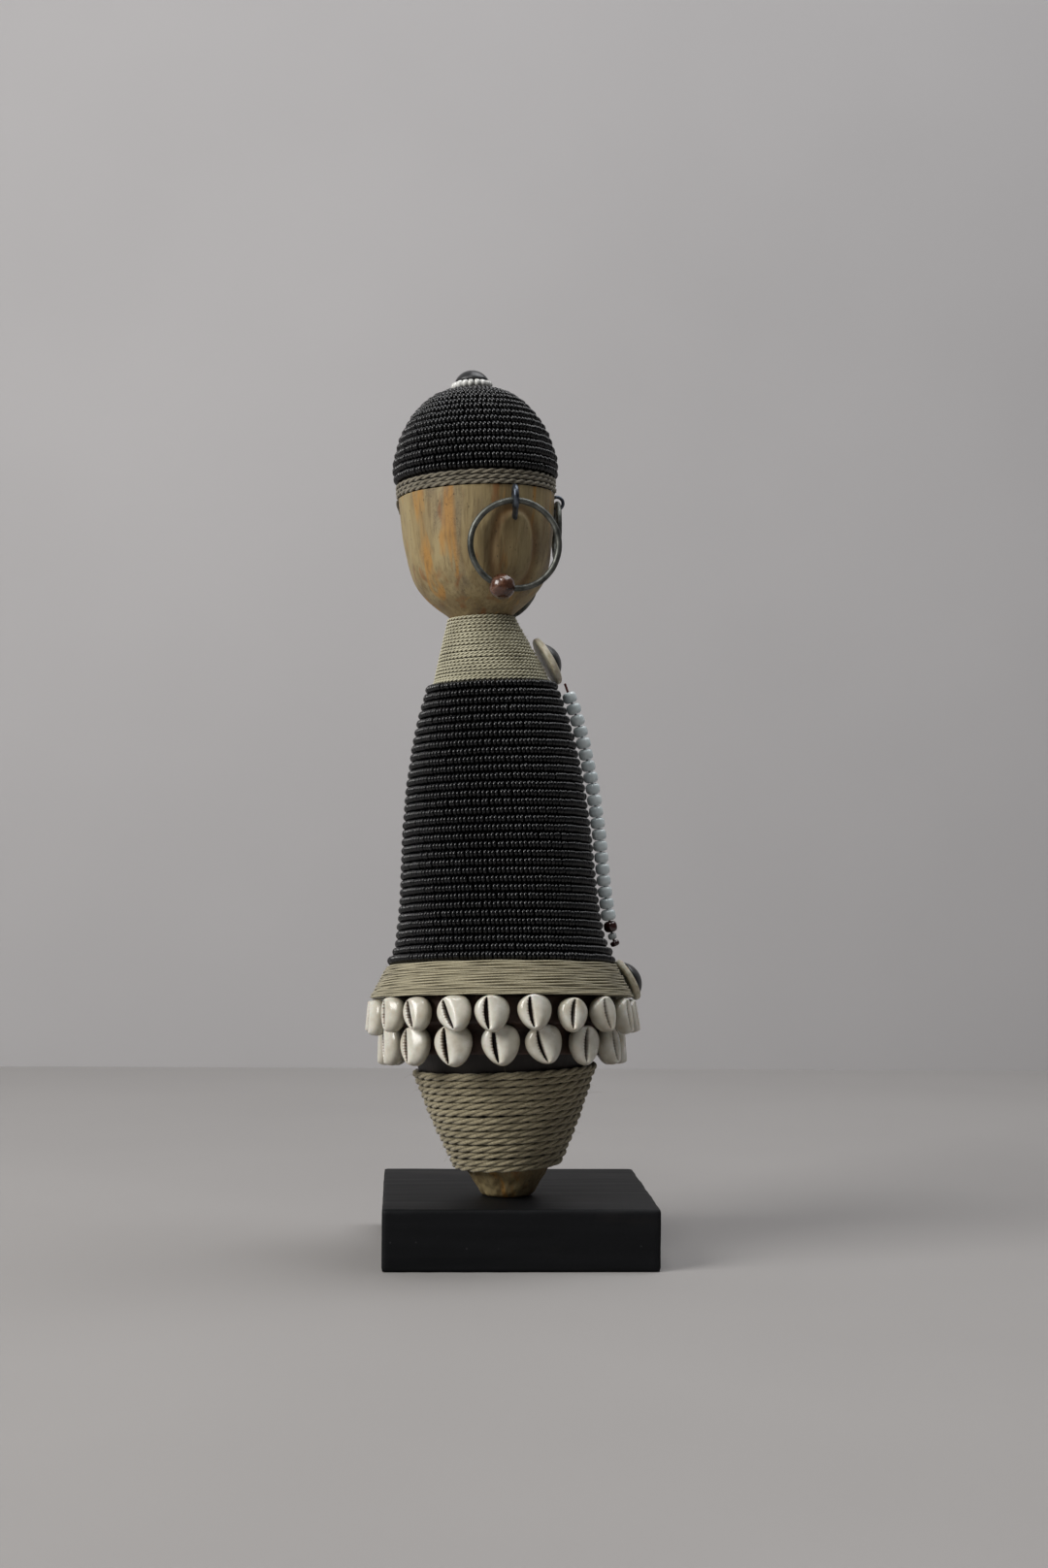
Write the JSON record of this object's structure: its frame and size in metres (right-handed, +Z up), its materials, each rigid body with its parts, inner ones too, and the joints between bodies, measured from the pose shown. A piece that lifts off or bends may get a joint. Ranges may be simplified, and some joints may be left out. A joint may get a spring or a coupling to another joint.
{
  "type": "fertility doll",
  "caption": "Carved wood fertility doll on a square stand, wound with rope, twine and glass beads, with a cowrie shell skirt and hanging wire ear rings.",
  "frame": {"origin": "centre of the stand's square underside", "axes": "+Z up out of the stand; +X is the way the doll faces; the doll's right side faces -Y"},
  "size_m": [0.0958, 0.1033, 0.298],
  "materials": {
    "stand": "stained black, matte",
    "steel": "plain",
    "carved_wood": "raw, smooth, vertical grain",
    "rope": "three-strand twisted fibre",
    "twine": "waxed twine",
    "skirt_leather": "worn dark leather",
    "shell": "glossy natural shell",
    "sewing_thread": "waxed thread",
    "black_beads": "glossy black glass seed beads",
    "neck_twine": "fine plied twine",
    "lining": "plain cotton",
    "cord": "two-ply cord",
    "white_beads": "opaque white glass",
    "button": "domed, worn satin",
    "bone": "polished bone or shell",
    "pale_beads": "opaque pale blue-white glass",
    "dark_bead": "glossy dark glass",
    "clear_bead": "milky glass",
    "red_thread": "thread",
    "eye_steel": "dark oxidised wire",
    "ring_metal": "dark grey-green oxidised wire",
    "brown_bead": "glossy brown glass"
  },
  "bodies": {
    "figure": {"stand_block": "stand", "stand_screw": "steel", "figure_wood": "carved_wood", "hip_rope": "rope", "belt_twine": "twine", "skirt_backing": "skirt_leather", "upper_cowrie_shells": "shell", "lower_cowrie_shells": "shell", "upper_shell_stitches": "sewing_thread", "lower_shell_stitches": "sewing_thread", "torso_beads": "black_beads", "neck_twine": "neck_twine", "cap_lining": "lining", "cap_beads": "black_beads", "cap_cord_band": "cord", "crown_bead_ring": "white_beads", "crown_button": "button", "chest_disc": "bone", "chest_button": "button", "belt_disc": "bone", "belt_button": "button", "strand_white_beads": "pale_beads", "strand_dark_bead": "dark_bead", "strand_clear_bead": "clear_bead", "strand_end_bead": "dark_bead", "strand_thread": "red_thread", "right_screw_eye": "eye_steel", "left_screw_eye": "eye_steel", "face_staple": "eye_steel"},
    "right_ring": {"right_ear_ring": "ring_metal"},
    "right_bead": {"right_ring_bead": "brown_bead"},
    "left_ring": {"left_ear_ring": "ring_metal"},
    "left_bead": {"left_ring_bead": "brown_bead"},
    "face_ring": {"face_ring": "ring_metal"}
  },
  "joints": [
    {"name": "right_ring_swing", "type": "hinge", "parent": "figure", "child": "right_ring", "pos_m": [-0.00416, -0.03844, 0.24953], "axis": [-0.9994, -0.0351, 0], "range_deg": [-2, 110]},
    {"name": "right_bead_slide_round", "type": "hinge", "parent": "right_ring", "child": "right_bead", "pos_m": [-0.00416, -0.03844, 0.23508], "axis": [0.0351, -0.9994, 0], "range_deg": [-38, 136]},
    {"name": "left_ring_swing", "type": "hinge", "parent": "figure", "child": "left_ring", "pos_m": [-0.00771, 0.01888, 0.24539], "axis": [0.9661, -0.2583, 0], "range_deg": [-5, 110]},
    {"name": "left_bead_slide_round", "type": "hinge", "parent": "left_ring", "child": "left_bead", "pos_m": [-0.00771, 0.01888, 0.23094], "axis": [0.2583, 0.9661, 0], "range_deg": [-136, 104]},
    {"name": "face_ring_swing", "type": "hinge", "parent": "figure", "child": "face_ring", "pos_m": [0.01153, -0.008, 0.25316], "axis": [0.0262, -0.9997, 0], "range_deg": [-3, 100]}
  ]
}
